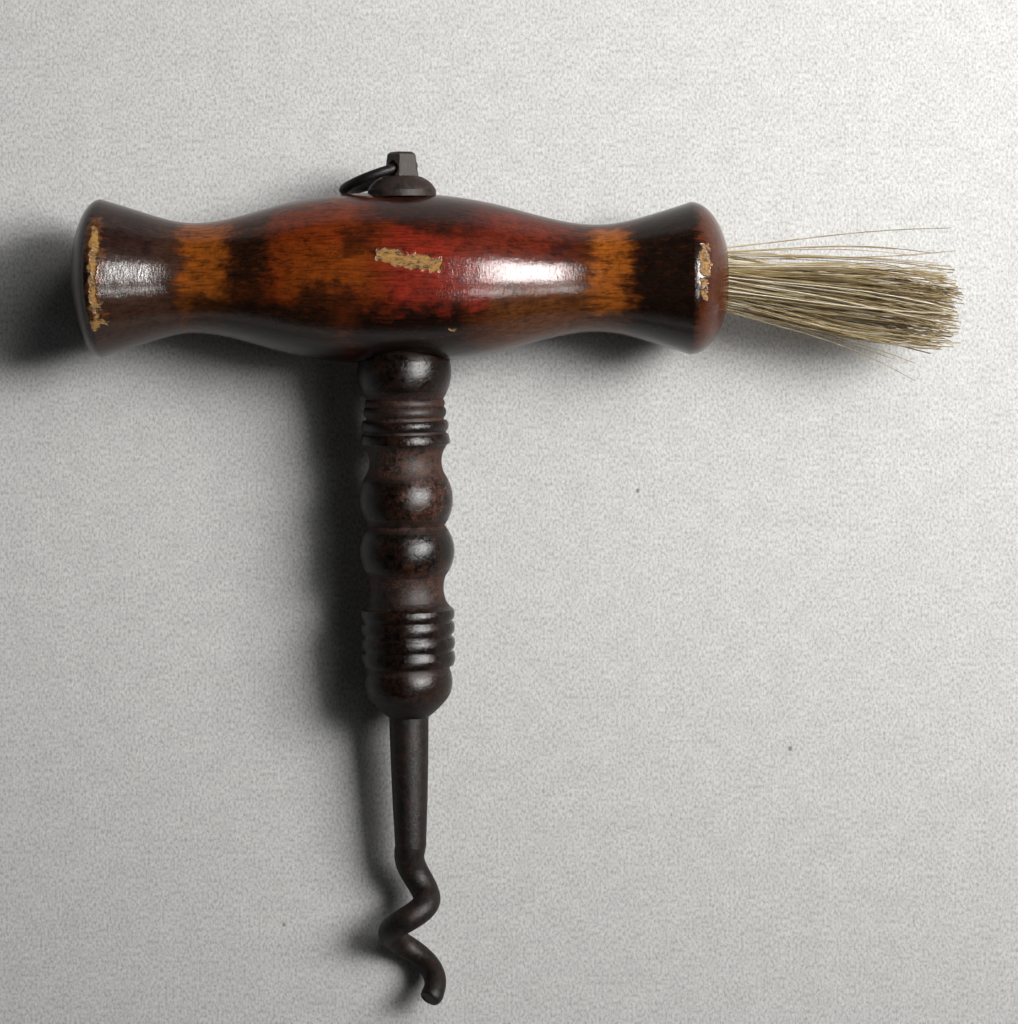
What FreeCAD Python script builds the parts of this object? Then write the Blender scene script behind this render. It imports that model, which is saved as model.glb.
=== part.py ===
import FreeCAD, Part
import math
import os
import random
from FreeCAD import Placement, Rotation, Vector

# A straight-pull corkscrew with a dusting brush in its handle, lying flat as it comes to rest.
# Lengths are in millimetres and angles in degrees.
# Each piece is drawn in the bench frame: the handle lies along X with its brush at +X, the stem hangs
# from the handle's middle along -Y, and +Z faces whoever looks down on it. Depth is measured from the
# handle's axis along the stem, positive towards the worm and negative towards the nub.
# The whole is then tipped until the worm touches the table, and set on it.

# Handle, turned: radii at the bulge, waists and knobs, and where they stand along the handle
HANDLE_BULGE_RADIUS = 13.0
LEFT_END = 49.9
LEFT_KNOB_AT = 45.4
LEFT_KNOB_RADIUS = 12.0
LEFT_WAIST_AT = 33.0
LEFT_WAIST_RADIUS = 8.5
RIGHT_END = 50.3
RIGHT_KNOB_AT = 44.2
RIGHT_KNOB_RADIUS = 11.6
RIGHT_WAIST_AT = 31.7
RIGHT_WAIST_RADIUS = 8.25
BULGE_AT = -2.0
END_FLAT_RADIUS = 1.5
# the swell is a little fuller than a plain wave, as a share of the bulge's radius,
# and a knob's flare is late: it stays slim past the waist by a share of that fullness
SWELL_FULLNESS = 0.045
LEFT_FLARE_DELAY = 0.3
RIGHT_FLARE_DELAY = 0.5

# Stem: where it meets the handle, how it leans in plan, and how deep it is let into the bulge
STEM_AT = 0.45
STEM_LEAN = 0.62
COLLAR_LET_IN = 2.7
COLLAR_SEAT_DEPTH = HANDLE_BULGE_RADIUS - COLLAR_LET_IN
COUNTERBORE_CLEARANCE = 0.15

# Tang: square and tapered, turned a little about the stem's axis, its tip standing out as the nub
TANG_TURN = 32.0
TANG_WIDTH_AT_COLLAR = 5.6
NUB_BASE_WIDTH = 4.05
NUB_TIP_WIDTH = 3.45
NUB_STANDING = 3.65
NUB_WORN_TIP = 0.35
TANG_CORNER = 0.45
TANG_CLEARANCE = 0.06

# Rove: domed washer on a spot face cut in the handle's back
SPOT_FACE_CUT = 0.6
SPOT_FACE_HEIGHT = HANDLE_BULGE_RADIUS - SPOT_FACE_CUT
SPOT_FACE_CLEARANCE = 0.15
ROVE_RADIUS = 5.2
ROVE_RIM = 0.95
ROVE_DOME = 2.15
ROVE_CROWN_LIP = 0.35
# where the dome's swell stands, as shares of its width and height
ROVE_SWELL_OUT = 0.7
ROVE_SWELL_UP = 0.55

# Hanging ring and the cross hole that it swings in
RING_MEAN_RADIUS = 5.6
RING_WIRE_RADIUS = 0.75
RING_HOLE_RADIUS = 1.25
RING_HOLE_ABOVE_ROVE = 1.45
RING_HOLE_YAW = 48.0
RING_HOLE_TILT = 10.0
RING_AIR = 0.35
RING_SWING_START = 90.0
RING_SWING_STEP = 1.0
RING_SWING_FINE_STEP = 0.25

# Baluster and shaft, turned in one: length, then radius at the start, the middle and the end,
# from the handle down. The last entry is the plain tapered shaft.
TURNINGS = (
    (2.3, 5.2, 6.5, 7.0),
    (5.85, 7.0, 7.1, 5.85),
    (1.2, 5.95, 6.15, 5.95),
    (1.45, 6.1, 6.35, 6.1),
    (0.55, 6.0, 5.95, 6.0),
    (1.6, 6.4, 6.7, 6.4),
    (0.45, 6.3, 6.25, 6.3),
    (1.5, 6.55, 6.85, 6.85),
    (4.85, 6.6, 5.55, 6.1),
    (7.7, 6.1, 7.22, 5.85),
    (7.7, 5.85, 7.36, 6.0),
    (3.9, 6.0, 5.6, 5.95),
    (1.3, 5.95, 6.35, 7.1),
    (1.5, 7.1, 7.27, 7.1),
    (0.55, 6.85, 6.8, 6.85),
    (1.6, 7.1, 7.27, 7.1),
    (0.8, 6.85, 6.8, 6.85),
    (1.6, 7.1, 7.27, 7.1),
    (0.6, 6.85, 6.8, 6.85),
    (2.0, 7.1, 7.27, 7.0),
    (0.7, 6.5, 6.4, 6.4),
    (4.5, 6.4, 6.8, 6.0),
    (2.8, 6.0, 4.75, 3.15),
    (20.2, 3.05, 2.82, 2.4),
)

# Worm: right-handed, opening out from the shaft's axis, broken off blunt
WORM_START_ANGLE = -150.0
WORM_END_ANGLE = 395.0
WORM_SECTION_STEP = 20.0
WORM_LEAD_IN = 19.0
WORM_FIRST_LEAD = 8.96
WORM_LEAD_GROWTH = 4.6
WORM_OPENED_RADIUS = 2.4
WORM_FULL_RADIUS = 3.6
WORM_OPENING_ANGLE = 130.0
WORM_WIRE_OPENED = 2.1
WORM_WIRE_AT_END = 1.68
BREAK_LENGTH = 0.45
BREAK_RADIUS = 1.2
BREAK_SLANT = 16.0

# Brush: socket in the handle's right end, and the tied tuft that is set in it with pitch
SOCKET_RADIUS = 4.9
SOCKET_DEPTH = 13.5
SOCKET_CLEARANCE = 0.08
PITCH_THICKNESS = 1.5
TUFT_MOUTH_RECESS = 0.9
TUFT_ROOT_RADIUS = 4.75
BINDING_AT = 3.5
BINDING_LENGTH = 4.2
BINDING_TURNS = 6
BINDING_THREAD_RADIUS = 0.35
BINDING_CLEARANCE = 0.06
THREAD_FULLNESS = 0.8
HAIR_COUNT = 150
HAIR_ROOT_WIDTH = 0.42
HAIR_TIP_WIDTH = 0.26
HAIR_LENGTH = 34.4
HAIR_UNEVEN = 2.6
HAIR_TIP_SLOPE = 0.2
HAIR_SPREAD = 1.78
HAIR_LEAN = 3.4
HAIR_DROOP = 0.8
HAIR_SEED = 11
GOLDEN_ANGLE = 137.508

# Limits of the two searches and of what counts as the same point
STEEPEST_PITCH = 20.0
PITCH_TOLERANCE = 1e-7
SAME_POINT = 1e-6

X_AXIS = Vector(1, 0, 0)
Y_AXIS = Vector(0, 1, 0)
Z_AXIS = Vector(0, 0, 1)
ORIGIN = Vector(0, 0, 0)

WORM_START_DEPTH = COLLAR_SEAT_DEPTH + sum(turning[0] for turning in TURNINGS)
WORM_WIRE_AT_START = TURNINGS[-1][3]
ROVE_TOP_HEIGHT = SPOT_FACE_HEIGHT + ROVE_RIM + ROVE_DOME
NUB_TIP_HEIGHT = ROVE_TOP_HEIGHT + NUB_STANDING
RING_HOLE_HEIGHT = ROVE_TOP_HEIGHT + RING_HOLE_ABOVE_ROVE
COLLAR_RADIUS = max(TURNINGS[0][1:])


def stem_placement():
    """Placement of everything that was drawn about the stem's own axis."""
    return Placement(Vector(STEM_AT, 0, 0), Rotation(Z_AXIS, STEM_LEAN))


def on_stem(shape):
    """Carry a shape from the stem's own axis to its place in the handle."""
    shape.Placement = stem_placement().multiply(shape.Placement)
    return shape


def revolve(edges, axis):
    """Solid of revolution about an axis through the origin, from a closed half section."""
    face = Part.Face(Part.Wire(edges))
    return face.revolve(ORIGIN, axis, 360)


def line(start, end):
    return Part.LineSegment(start, end).toShape()


def arc(start, middle, end):
    return Part.Arc(start, middle, end).toShape()


def midway(start, end):
    return (start + end) * 0.5


# Handle

def end_dome(knob, tip):
    """Edges round an end, from a knob's widest point to the small flat that the lathe left on the axis."""
    whole = Part.Ellipse(knob, tip, Vector(knob.x, 0, 0))
    dome = Part.ArcOfEllipse(whole, 0, math.acos(END_FLAT_RADIUS / knob.y)).toShape()
    flat_rim = dome.Vertexes[-1].Point
    return [dome, line(flat_rim, Vector(flat_rim.x, 0, 0))]


def handle_outline():
    """Edges of the handle's turned half section above X, closed along the axis."""
    left_knob = Vector(-LEFT_KNOB_AT, LEFT_KNOB_RADIUS, 0)
    left_waist = Vector(-LEFT_WAIST_AT, LEFT_WAIST_RADIUS, 0)
    bulge = Vector(BULGE_AT, HANDLE_BULGE_RADIUS, 0)
    right_waist = Vector(RIGHT_WAIST_AT, RIGHT_WAIST_RADIUS, 0)
    right_knob = Vector(RIGHT_KNOB_AT, RIGHT_KNOB_RADIUS, 0)
    fullness = Vector(0, SWELL_FULLNESS * HANDLE_BULGE_RADIUS, 0)
    left_flare = midway(left_waist, left_knob) - fullness * LEFT_FLARE_DELAY
    right_flare = midway(right_waist, right_knob) - fullness * RIGHT_FLARE_DELAY
    turned = Part.BSplineCurve()
    turned.interpolate([
        left_knob,
        left_flare,
        left_waist,
        midway(left_waist, bulge) + fullness,
        bulge,
        midway(bulge, right_waist) + fullness,
        right_waist,
        right_flare,
        right_knob,
    ])
    left_end = end_dome(left_knob, Vector(-LEFT_END, 0, 0))
    right_end = end_dome(right_knob, Vector(RIGHT_END, 0, 0))
    axis = line(left_end[-1].Vertexes[-1].Point, right_end[-1].Vertexes[-1].Point)
    return left_end + [turned.toShape()] + right_end + [axis]


def rounded_square(width, corner, depth):
    """Square wire across the stem's axis, its corners cut by a small flat."""
    half = width / 2
    near = half - corner
    points = []
    for x, z in ((half, near), (near, half), (-near, half), (-half, near),
                 (-half, -near), (-near, -half), (near, -half), (half, -near)):
        points.append(Vector(x, -depth, z))
    wire = Part.makePolygon(points + points[:1])
    wire.rotate(ORIGIN, Y_AXIS, TANG_TURN)
    return wire


def tapered_tang(clearance):
    """The tang's taper from the collar to the nub's base, grown all round by a clearance."""
    sections = [
        rounded_square(TANG_WIDTH_AT_COLLAR + 2 * clearance, TANG_CORNER, COLLAR_SEAT_DEPTH),
        rounded_square(NUB_BASE_WIDTH + 2 * clearance, TANG_CORNER, -ROVE_TOP_HEIGHT),
    ]
    return Part.makeLoft(sections, True, True)


def disc(radius, depth, length):
    """Cylinder on the stem's axis that starts at a depth and runs towards the worm."""
    return Part.makeCylinder(radius, length, Vector(0, -depth, 0), -Y_AXIS)


def make_handle():
    blank = revolve(Part.__sortEdges__(handle_outline()), X_AXIS)
    room = 2 * HANDLE_BULGE_RADIUS
    cuts = [
        on_stem(disc(COLLAR_RADIUS + COUNTERBORE_CLEARANCE, COLLAR_SEAT_DEPTH, room)),
        on_stem(disc(ROVE_RADIUS + SPOT_FACE_CLEARANCE, -SPOT_FACE_HEIGHT - room, room)),
        on_stem(tapered_tang(TANG_CLEARANCE)),
        Part.makeCylinder(SOCKET_RADIUS, room, Vector(RIGHT_END - SOCKET_DEPTH, 0, 0), X_AXIS),
    ]
    return blank.cut(cuts)


# Stem

def make_turned_stem():
    """Turned baluster and shaft, from the seat under the handle to where the worm starts."""
    depth = COLLAR_SEAT_DEPTH
    at = Vector(0, -depth, 0)
    edges = []
    for length, start, middle, end in TURNINGS:
        first = Vector(start, -depth, 0)
        halfway = Vector(middle, -depth - length / 2, 0)
        last = Vector(end, -depth - length, 0)
        if (first - at).Length > SAME_POINT:
            edges.append(line(at, first))
        edges.append(arc(first, halfway, last))
        depth += length
        at = last
    foot = Vector(0, -depth, 0)
    edges.append(line(at, foot))
    edges.append(line(foot, Vector(0, -COLLAR_SEAT_DEPTH, 0)))
    return revolve(edges, Y_AXIS)


def make_nub():
    """The tang's tip above the rove: a steeper square taper with a worn top edge."""
    shoulder = NUB_TIP_HEIGHT - NUB_WORN_TIP
    sections = [
        rounded_square(NUB_BASE_WIDTH, TANG_CORNER, -ROVE_TOP_HEIGHT),
        rounded_square(NUB_TIP_WIDTH, TANG_CORNER, -shoulder),
        rounded_square(NUB_TIP_WIDTH - 2 * NUB_WORN_TIP, TANG_CORNER, -NUB_TIP_HEIGHT),
    ]
    return Part.makeLoft(sections, True, True)


def worm_station(angle):
    """Centre and wire radius of the worm at a turn angle, 0 at the first full swing to the right."""
    half_turns = angle / 180.0
    opened_depth = WORM_START_DEPTH - WORM_START_ANGLE / 360.0 * WORM_LEAD_IN
    if angle < 0:
        share = (angle - WORM_START_ANGLE) / -WORM_START_ANGLE
        depth = opened_depth + half_turns * WORM_LEAD_IN / 2
        offset = WORM_OPENED_RADIUS * share
        wire = WORM_WIRE_AT_START + (WORM_WIRE_OPENED - WORM_WIRE_AT_START) * share
    else:
        depth = opened_depth + half_turns * WORM_FIRST_LEAD / 2 + half_turns ** 2 * WORM_LEAD_GROWTH / 4
        still_closed = math.exp(-angle / WORM_OPENING_ANGLE)
        offset = WORM_FULL_RADIUS - (WORM_FULL_RADIUS - WORM_OPENED_RADIUS) * still_closed
        wire = WORM_WIRE_OPENED + (WORM_WIRE_AT_END - WORM_WIRE_OPENED) * angle / WORM_END_ANGLE
    turn = math.radians(angle)
    return Vector(offset * math.cos(turn), -depth, offset * math.sin(turn)), wire


def worm_line():
    """Centres and radii of the wire's round sections, from the shaft's end to the break."""
    stations = []
    count = round((WORM_END_ANGLE - WORM_START_ANGLE) / WORM_SECTION_STEP)
    for index in range(count + 1):
        angle = WORM_START_ANGLE + (WORM_END_ANGLE - WORM_START_ANGLE) * index / count
        stations.append(worm_station(angle))
    last, before = stations[-1][0], stations[-2][0]
    heading = (last - before).normalize()
    stations.append((last + heading * BREAK_LENGTH, BREAK_RADIUS))
    return stations


def make_worm():
    """Loft through round sections square to the line, each turned no more than the line turns."""
    stations = worm_line()
    centres = [centre for centre, _ in stations]
    across = X_AXIS
    sections = []
    for index, (centre, radius) in enumerate(stations):
        ahead = centres[min(index + 1, len(centres) - 1)]
        behind = centres[max(index - 1, 0)]
        heading = (ahead - behind).normalize() if index else -Y_AXIS
        across = (across - heading * across.dot(heading)).normalize()
        side = heading.cross(across)
        if index == len(stations) - 1:
            heading = Rotation(side, BREAK_SLANT).multVec(heading)
        turned = Rotation(side.cross(heading), side, heading, "ZYX")
        section = Part.Wire([Part.Circle(ORIGIN, Z_AXIS, radius).toShape()])
        section.Placement = Placement(centre, turned)
        sections.append(section)
    return Part.makeLoft(sections, True, False)


def hole_heading():
    """Direction of the ring's cross hole, out of the nub's left side."""
    yaw = math.radians(RING_HOLE_YAW)
    tilt = math.radians(RING_HOLE_TILT)
    return Vector(-math.cos(yaw) * math.cos(tilt), -math.sin(tilt), math.sin(yaw) * math.cos(tilt))


def hole_centre():
    return Vector(0, RING_HOLE_HEIGHT, 0)


def make_stem():
    heading = hole_heading()
    reach = NUB_TIP_HEIGHT
    cross_hole = Part.makeCylinder(
        RING_HOLE_RADIUS, 2 * reach, hole_centre() - heading * reach, heading)
    body = make_turned_stem().fuse([make_worm(), tapered_tang(0.0), make_nub()])
    return on_stem(body.removeSplitter().cut(cross_hole))


def make_rove():
    top_lip = NUB_BASE_WIDTH / 2 + ROVE_CROWN_LIP
    rim = Vector(ROVE_RADIUS, SPOT_FACE_HEIGHT, 0)
    shoulder = Vector(ROVE_RADIUS, SPOT_FACE_HEIGHT + ROVE_RIM, 0)
    crown = Vector(top_lip, ROVE_TOP_HEIGHT, 0)
    swell = Vector(
        top_lip + ROVE_SWELL_OUT * (ROVE_RADIUS - top_lip),
        SPOT_FACE_HEIGHT + ROVE_RIM + ROVE_SWELL_UP * ROVE_DOME,
        0,
    )
    bottom = Vector(0, SPOT_FACE_HEIGHT, 0)
    top = Vector(0, ROVE_TOP_HEIGHT, 0)
    edges = [
        line(bottom, rim),
        line(rim, shoulder),
        arc(shoulder, swell, crown),
        line(crown, top),
        line(top, bottom),
    ]
    return on_stem(revolve(edges, Y_AXIS).cut(tapered_tang(TANG_CLEARANCE)))


# Hanging ring

def ring_at(swing):
    """The ring at a swing angle about its hole, 90 where it points straight back from the viewer."""
    heading = hole_heading()
    inward = (-Y_AXIS + heading * Y_AXIS.dot(heading)).normalize()
    away = heading.cross(inward)
    if away.z > 0:
        away = -away
    hang = inward * math.cos(math.radians(swing)) + away * math.sin(math.radians(swing))
    half_hole = NUB_BASE_WIDTH / 2
    bow = RING_MEAN_RADIUS - math.sqrt(RING_MEAN_RADIUS ** 2 - half_hole ** 2)
    centre = hole_centre() + hang * (RING_MEAN_RADIUS - bow / 2)
    return on_stem(Part.makeTorus(RING_MEAN_RADIUS, RING_WIRE_RADIUS, centre, heading.cross(hang)))


def make_hanging_ring(handle):
    """The ring where it has swung in towards the handle and stops just clear of it."""
    swing = RING_SWING_START
    while swing > 0 and ring_at(swing).distToShape(handle)[0] > RING_AIR:
        swing -= RING_SWING_STEP
    while swing < 180 and ring_at(swing).distToShape(handle)[0] < RING_AIR:
        swing += RING_SWING_FINE_STEP
    return ring_at(swing)


# Brush

def socket_floor():
    return RIGHT_END - SOCKET_DEPTH


def make_pitch_plug():
    radius = SOCKET_RADIUS - SOCKET_CLEARANCE
    return Part.makeCylinder(radius, PITCH_THICKNESS, Vector(socket_floor(), 0, 0), X_AXIS)


def binding_start():
    return socket_floor() + PITCH_THICKNESS + BINDING_AT


def make_tuft_binding():
    """Whipping of thread in side-by-side turns, let into the tuft's waist."""
    outer = TUFT_ROOT_RADIUS - BINDING_THREAD_RADIUS
    pitch = BINDING_LENGTH / BINDING_TURNS
    inner = outer - BINDING_THREAD_RADIUS
    start = binding_start()
    edges = [line(Vector(start, inner, 0), Vector(start, outer, 0))]
    for turn in range(BINDING_TURNS):
        left = start + turn * pitch
        edges.append(arc(
            Vector(left, outer, 0),
            Vector(left + pitch / 2, outer + BINDING_THREAD_RADIUS * THREAD_FULLNESS, 0),
            Vector(left + pitch, outer, 0),
        ))
    end = start + BINDING_LENGTH
    edges.append(line(Vector(end, outer, 0), Vector(end, inner, 0)))
    edges.append(line(Vector(end, inner, 0), Vector(start, inner, 0)))
    return revolve(edges, X_AXIS)


def make_tuft_root():
    """The hairs' bound and pitched root, with the waist that the whipping draws in."""
    start = socket_floor() + PITCH_THICKNESS
    mouth = tuft_mouth()
    waist = TUFT_ROOT_RADIUS - 2 * BINDING_THREAD_RADIUS - BINDING_CLEARANCE
    low = binding_start() - BINDING_CLEARANCE
    high = binding_start() + BINDING_LENGTH + BINDING_CLEARANCE
    corners = [
        Vector(start, 0, 0),
        Vector(start, TUFT_ROOT_RADIUS, 0),
        Vector(low, TUFT_ROOT_RADIUS, 0),
        Vector(low, waist, 0),
        Vector(high, waist, 0),
        Vector(high, TUFT_ROOT_RADIUS, 0),
        Vector(mouth, TUFT_ROOT_RADIUS, 0),
        Vector(mouth, 0, 0),
    ]
    return revolve(Part.makePolygon(corners + corners[:1]).Edges, X_AXIS)


def tuft_mouth():
    """Where the hairs leave the bound root, just inside the socket's mouth."""
    return RIGHT_END - TUFT_MOUTH_RECESS


def hair_section(centre, width):
    half = width / 2
    corners = [centre + Vector(0, y, z) for y, z in
               ((half, half), (-half, half), (-half, -half), (half, -half))]
    return Part.makePolygon(corners + corners[:1])


def make_hair(root_y, root_z, stretch):
    """One straight hair of the fan, its foot sunk in the root and its tip cut square."""
    mouth = tuft_mouth()
    reach = (HAIR_LENGTH + HAIR_TIP_SLOPE * root_y * HAIR_SPREAD) * stretch
    tip = Vector(mouth + reach,
                 root_y * (1 + (HAIR_SPREAD - 1) * stretch) - HAIR_LEAN * stretch,
                 root_z * (1 + (HAIR_SPREAD - 1) * stretch) - HAIR_DROOP * stretch)
    root = Vector(mouth, root_y, root_z)
    foot = root + (root - tip) * (HAIR_ROOT_WIDTH / reach)
    return Part.makeLoft(
        [hair_section(foot, HAIR_ROOT_WIDTH), hair_section(tip, HAIR_TIP_WIDTH)], True, True)


def make_bristle_tuft():
    """The doubled and tied hairs, evenly packed at the root and spreading to an uneven tip."""
    uneven = random.Random(HAIR_SEED)
    pack_radius = TUFT_ROOT_RADIUS - HAIR_ROOT_WIDTH
    hairs = []
    for index in range(HAIR_COUNT):
        radius = pack_radius * math.sqrt((index + 0.5) / HAIR_COUNT)
        turn = math.radians(index * GOLDEN_ANGLE)
        stretch = 1 - uneven.random() ** 2 * HAIR_UNEVEN / HAIR_LENGTH
        hairs.append(make_hair(radius * math.cos(turn), radius * math.sin(turn), stretch))
    return make_tuft_root().fuse(hairs)


# Laying it down

def resting_pitch():
    """How far the stem dips towards the table before the worm's lowest point touches it."""
    low, high = 0.0, STEEPEST_PITCH
    while high - low > PITCH_TOLERANCE:
        pitch = (low + high) / 2
        tipped = Rotation(X_AXIS, pitch)
        lowest = min(tipped.multVec(centre).z - wire for centre, wire in worm_line())
        if lowest > -HANDLE_BULGE_RADIUS:
            low = pitch
        else:
            high = pitch
    return (low + high) / 2


def resting_placement(pieces):
    """Tip the bench frame onto the table and centre the outline on the origin."""
    tipped = Placement(Vector(0, 0, HANDLE_BULGE_RADIUS), Rotation(X_AXIS, resting_pitch()))
    whole = Part.makeCompound(pieces)
    whole.Placement = tipped
    box = whole.optimalBoundingBox(False, False)
    centring = Placement(Vector(-box.Center.x, -box.Center.y, -box.ZMin), Rotation())
    return centring.multiply(tipped)


def make_pieces():
    handle = make_handle()
    return {
        "handle": handle,
        "stem": make_stem(),
        "rove": make_rove(),
        "hanging_ring": make_hanging_ring(handle),
        "bristle_tuft": make_bristle_tuft(),
        "tuft_binding": make_tuft_binding(),
        "pitch_plug": make_pitch_plug(),
    }


def main():
    os.makedirs("parts", exist_ok=True)
    pieces = make_pieces()
    laid = resting_placement(list(pieces.values()))
    for name, shape in pieces.items():
        shape.Placement = laid.multiply(shape.Placement)
        shape.exportStep(f"parts/{name}.step")


main()
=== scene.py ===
import logging
import math
import random
from collections.abc import Iterator
from contextlib import contextmanager
from dataclasses import dataclass
from enum import Enum

import bpy
from mathutils import Matrix, Vector


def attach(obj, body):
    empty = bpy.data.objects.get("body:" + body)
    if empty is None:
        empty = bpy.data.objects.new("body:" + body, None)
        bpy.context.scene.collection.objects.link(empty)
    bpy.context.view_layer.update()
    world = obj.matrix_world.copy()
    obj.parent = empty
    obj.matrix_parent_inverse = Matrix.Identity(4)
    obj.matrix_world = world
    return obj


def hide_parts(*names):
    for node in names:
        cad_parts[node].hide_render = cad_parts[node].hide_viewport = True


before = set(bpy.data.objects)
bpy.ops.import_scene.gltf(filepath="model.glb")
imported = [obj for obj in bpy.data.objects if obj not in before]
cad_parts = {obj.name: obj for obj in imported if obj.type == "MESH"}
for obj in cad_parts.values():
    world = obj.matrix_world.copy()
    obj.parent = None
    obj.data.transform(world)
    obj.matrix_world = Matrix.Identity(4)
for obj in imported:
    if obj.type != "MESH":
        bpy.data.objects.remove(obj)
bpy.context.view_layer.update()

log = logging.getLogger("corkscrew")

Colour = tuple[float, float, float]
Linear = tuple[float, float, float, float]
Place = tuple[float, float, float]
Span = tuple[float, float]
Thing = bpy.types.Object
Material = bpy.types.Material
Socket = bpy.types.NodeSocket
Value = Socket | float | Linear

MM = 0.001

# How the part lies: the bench frame's place and pitch, as the solids have them
BENCH_AT_MM = (-17.5986, 46.3568, 13.0)
BENCH_PITCH = math.radians(4.2395)

# Turn from one hair to the next, which spreads them evenly over the socket's mouth
GOLDEN_ANGLE = math.radians(137.508)
# The attribute that carries each hair's tone to its material
HAIR_TONE = "hair_tone"


def paint(red: float, green: float, blue: float) -> Linear:
    """Turn a colour as the eye sees it into the linear one that a shader takes.

    Args:
        red, green, blue: Its parts, 0 to 255.

    Returns:
        The linear colour with full alpha.
    """
    linear = []
    for value in (red, green, blue):
        share = value / 255.0
        linear.append(share / 12.92 if share <= 0.04045 else ((share + 0.055) / 1.055) ** 2.4)
    return (linear[0], linear[1], linear[2], 1.0)


def toned(colour: Colour, share: float) -> Linear:
    """Make a colour darker or paler.

    Args:
        colour: The colour as the eye sees it.
        share: What each part is multiplied by.

    Returns:
        The linear colour.
    """
    return paint(*(min(255.0, part * share) for part in colour))


def filter_of(red: float, green: float | None = None, blue: float | None = None) -> Linear:
    """Give a linear colour to multiply another one by.

    Args:
        red, green, blue: Shares that pass. The last two are as the first unless told.

    Returns:
        The colour with full alpha.
    """
    return (red, red if green is None else green, red if blue is None else blue, 1.0)


def bench_matrix() -> Matrix:
    """Give the matrix from the bench frame in millimetres to the row frame in metres.

    Returns:
        The matrix.
    """
    place = Matrix.Translation(Vector(BENCH_AT_MM) * MM)
    pitch = Matrix.Rotation(BENCH_PITCH, 4, "X")
    return place @ pitch @ Matrix.Scale(MM, 4)


class Blend(Enum):
    """How a colour is laid over another."""

    MIX = "MIX"
    MULTIPLY = "MULTIPLY"


@dataclass(frozen=True)
class Noise:
    """A cloudy pattern.

    Attributes:
        scale: Features per unit.
        detail, roughness: Number of finer layers, and their strength.
        swirl: How much it is swirled.
        stretch: Scale along X, Y and Z before it is read, where that isn't even.
    """

    scale: float
    detail: float = 3.0
    roughness: float = 0.5
    swirl: float = 0.0
    stretch: Place | None = None


class Graph:
    """A node graph, built up step by step."""

    def __init__(self, tree: bpy.types.NodeTree) -> None:
        """Start with an empty graph in a tree."""
        self.tree = tree
        self.tree.nodes.clear()

    def add(self, kind: str) -> bpy.types.Node:
        """Add a node of a kind, named without its first words, and give it."""
        return self.tree.nodes.new("ShaderNode" + kind)

    def plug(self, node: bpy.types.Node, key: str | int, value: Value) -> None:
        """Link a socket, or set a constant, on one input.

        Args:
            node: The node that takes the value.
            key: The input's name or place.
            value: A socket to link from, or a constant.
        """
        if isinstance(value, Socket):
            self.tree.links.new(value, node.inputs[key])
        else:
            node.inputs[key].default_value = value

    def split(self, vector: Socket) -> tuple[Socket, Socket, Socket]:
        """Give a vector's three parts.

        Args:
            vector: The vector's socket.

        Returns:
            Sockets of its X, Y and Z.
        """
        node = self.add("SeparateXYZ")
        self.plug(node, 0, vector)
        return node.outputs[0], node.outputs[1], node.outputs[2]

    def math(self, operation: str, first: Value, second: Value = 0.0,
             clamp: bool = False) -> Socket:
        """Combine two values.

        Args:
            operation: The operation's name.
            first, second: Sockets or constants.
            clamp: Whether the result is kept between 0 and 1.

        Returns:
            The result's socket.
        """
        node = self.add("Math")
        node.operation = operation
        node.use_clamp = clamp
        self.plug(node, 0, first)
        self.plug(node, 1, second)
        return node.outputs[0]

    def plus(self, first: Value, second: Value, clamp: bool = False) -> Socket:
        """Add two values."""
        return self.math("ADD", first, second, clamp)

    def times(self, first: Value, second: Value, clamp: bool = False) -> Socket:
        """Multiply two values."""
        return self.math("MULTIPLY", first, second, clamp)

    def sway(self, value: Value, noise: Socket, amount: float) -> Socket:
        """Move a value up and down with a noise.

        Args:
            value: The value.
            noise: The noise, with its middle at a half.
            amount: How far a change of 1 in the noise moves it.

        Returns:
            The new value's socket.
        """
        return self.plus(value, self.times(self.math("SUBTRACT", noise, 0.5), amount))

    def ramp(self, value: Socket, *stops: tuple[float, Linear]) -> Socket:
        """Colour by a value.

        Args:
            value: The value's socket.
            stops: Pairs of place and colour.

        Returns:
            The colour's socket.
        """
        node = self.add("ValToRGB")
        self.plug(node, 0, value)
        elements = node.color_ramp.elements
        elements[0].position, elements[0].color = stops[0]
        elements[1].position, elements[1].color = stops[-1]
        for place, colour in stops[1:-1]:
            added = elements.new(place)
            added.color = colour
        return node.outputs[0]

    def seen_directly(self) -> Socket:
        """Give a socket that is 1 where the eye sees a backdrop, also mirrored or through glass.

        Returns:
            The socket.
        """
        path = self.add("LightPath")
        total = path.outputs["Is Camera Ray"]
        for name in ("Is Glossy Ray", "Is Transmission Ray"):
            total = self.plus(total, path.outputs[name], clamp=True)
        return total


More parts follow.
